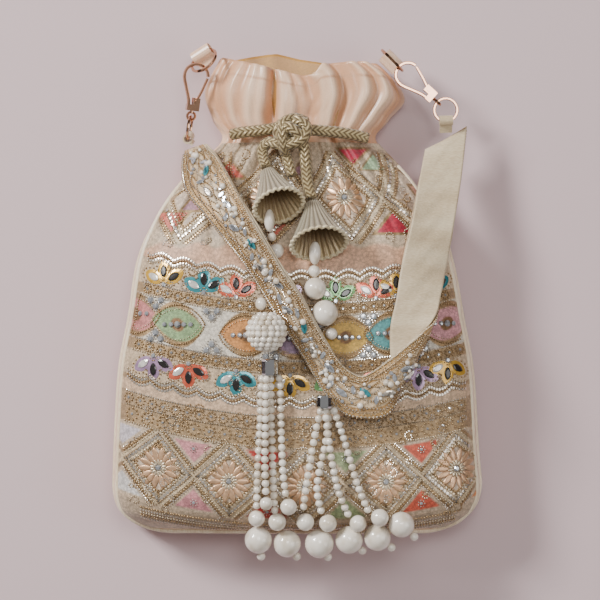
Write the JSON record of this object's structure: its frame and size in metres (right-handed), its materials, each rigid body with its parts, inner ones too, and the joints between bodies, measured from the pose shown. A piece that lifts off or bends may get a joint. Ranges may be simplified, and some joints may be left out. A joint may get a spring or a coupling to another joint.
{
  "type": "drawstring potli bag",
  "caption": "Stuffed satin drawstring potli bag with an embroidered front, a detachable embroidered strap on trigger clasps, cloth bells and pearl tassels, lying on its back.",
  "frame": {"origin": "middle of the flat back that the bag lies on, halfway across and at the height of the strap's arms", "axes": "+Z out of the embroidered front, +Y towards the mouth, +X to the right as the front is looked at"},
  "size_m": [0.1898, 0.2595, 0.0713],
  "materials": {
    "satin": "champagne satin",
    "lining": "golden satin",
    "embroidery": "embroidered cloth",
    "piping": "cream satin",
    "rose_gold": "polished, rose gold",
    "zari_cord": "knitted metallic cord",
    "bell_cloth": "pleated, metallic",
    "pearl": "pearly",
    "chrome": "faceted, mirror bright",
    "dupion": "slub dupion"
  },
  "bodies": {
    "bag": {"outer_bag": "satin", "left_tab": "satin", "right_tab": "satin", "lining": "lining", "front_panel": "embroidery", "strap_face": "embroidery", "piping_front": "piping", "piping_back": "piping", "strap_lining": "dupion", "left_strap_end": "dupion", "right_strap_end": "dupion", "drawstring_left_run": "zari_cord", "drawstring_right_run": "zari_cord", "drawstring_left_tail": "zari_cord", "drawstring_right_tail": "zari_cord", "drawstring_bow": "zari_cord", "drawstring_knot": "zari_cord", "left_bell": "bell_cloth", "right_bell": "bell_cloth", "left_oval_pearl": "pearl", "left_small_pearl": "pearl", "left_medium_pearl": "pearl", "left_pear_pearl": "pearl", "right_oval_pearl": "pearl", "right_small_pearl": "pearl", "right_medium_pearl": "pearl", "right_large_pearl": "pearl", "right_end_pearl": "pearl", "seed_pearl_ball": "pearl", "left_eye": "rose_gold", "left_strap_ring": "rose_gold", "right_eye": "rose_gold", "right_strap_ring": "rose_gold"},
    "left_tab_ring": {"left_tab_ring": "rose_gold"},
    "right_tab_ring": {"right_tab_ring": "rose_gold"},
    "left_clasp": {"left_hook": "rose_gold", "left_rivet": "rose_gold"},
    "right_clasp": {"right_hook": "rose_gold", "right_rivet": "rose_gold"},
    "left_gate": {"left_gate": "rose_gold"},
    "right_gate": {"right_gate": "rose_gold"},
    "left_fringe": {"left_cap": "chrome", "left_strand_a": "pearl", "left_strand_b": "pearl", "left_strand_c": "pearl", "left_strand_d": "pearl"},
    "right_fringe": {"right_cap": "chrome", "right_strand_e": "pearl", "right_strand_f": "pearl", "right_strand_g": "pearl", "right_strand_h": "pearl"}
  },
  "joints": [
    {"name": "left_ring_swing", "type": "hinge", "parent": "bag", "child": "left_tab_ring", "pos_m": [-0.0484, 0.1244, 0.0174], "axis": [0.8283, 0.5051, 0.2424], "range_deg": [-7, 8]},
    {"name": "right_ring_swing", "type": "hinge", "parent": "bag", "child": "right_tab_ring", "pos_m": [0.0476, 0.1206, 0.0187], "axis": [0.7071, -0.7071, 0], "range_deg": [-12, 10]},
    {"name": "left_swivel", "type": "hinge", "parent": "bag", "child": "left_clasp", "pos_m": [-0.05327, 0.09671, 0.0224], "axis": [-0.1351, -0.9858, -0.1001], "range_deg": [-15, 15]},
    {"name": "right_swivel", "type": "hinge", "parent": "bag", "child": "right_clasp", "pos_m": [0.06687, 0.10229, 0.02436], "axis": [0.7349, -0.6779, -0.02], "range_deg": [-15, 15]},
    {"name": "left_gate_hinge", "type": "hinge", "parent": "left_clasp", "child": "left_gate", "pos_m": [-0.05119, 0.09979, 0.02229], "axis": [0.2457, -0.1312, 0.9604], "range_deg": [0, 25], "stiffness_Nm_per_rad": 0.002},
    {"name": "right_gate_hinge", "type": "hinge", "parent": "right_clasp", "child": "right_gate", "pos_m": [0.0656, 0.10577, 0.02443], "axis": [0.0147, -0.0136, 0.9998], "range_deg": [0, 25], "stiffness_Nm_per_rad": 0.002},
    {"name": "left_fringe_lift", "type": "hinge", "parent": "bag", "child": "left_fringe", "pos_m": [-0.0138, -0.0288, 0.0543], "axis": [-1, 0, 0], "range_deg": [0, 60]},
    {"name": "right_fringe_lift", "type": "hinge", "parent": "bag", "child": "right_fringe", "pos_m": [0.0128, -0.0464, 0.058], "axis": [-1, 0, 0], "range_deg": [0, 60]}
  ]
}
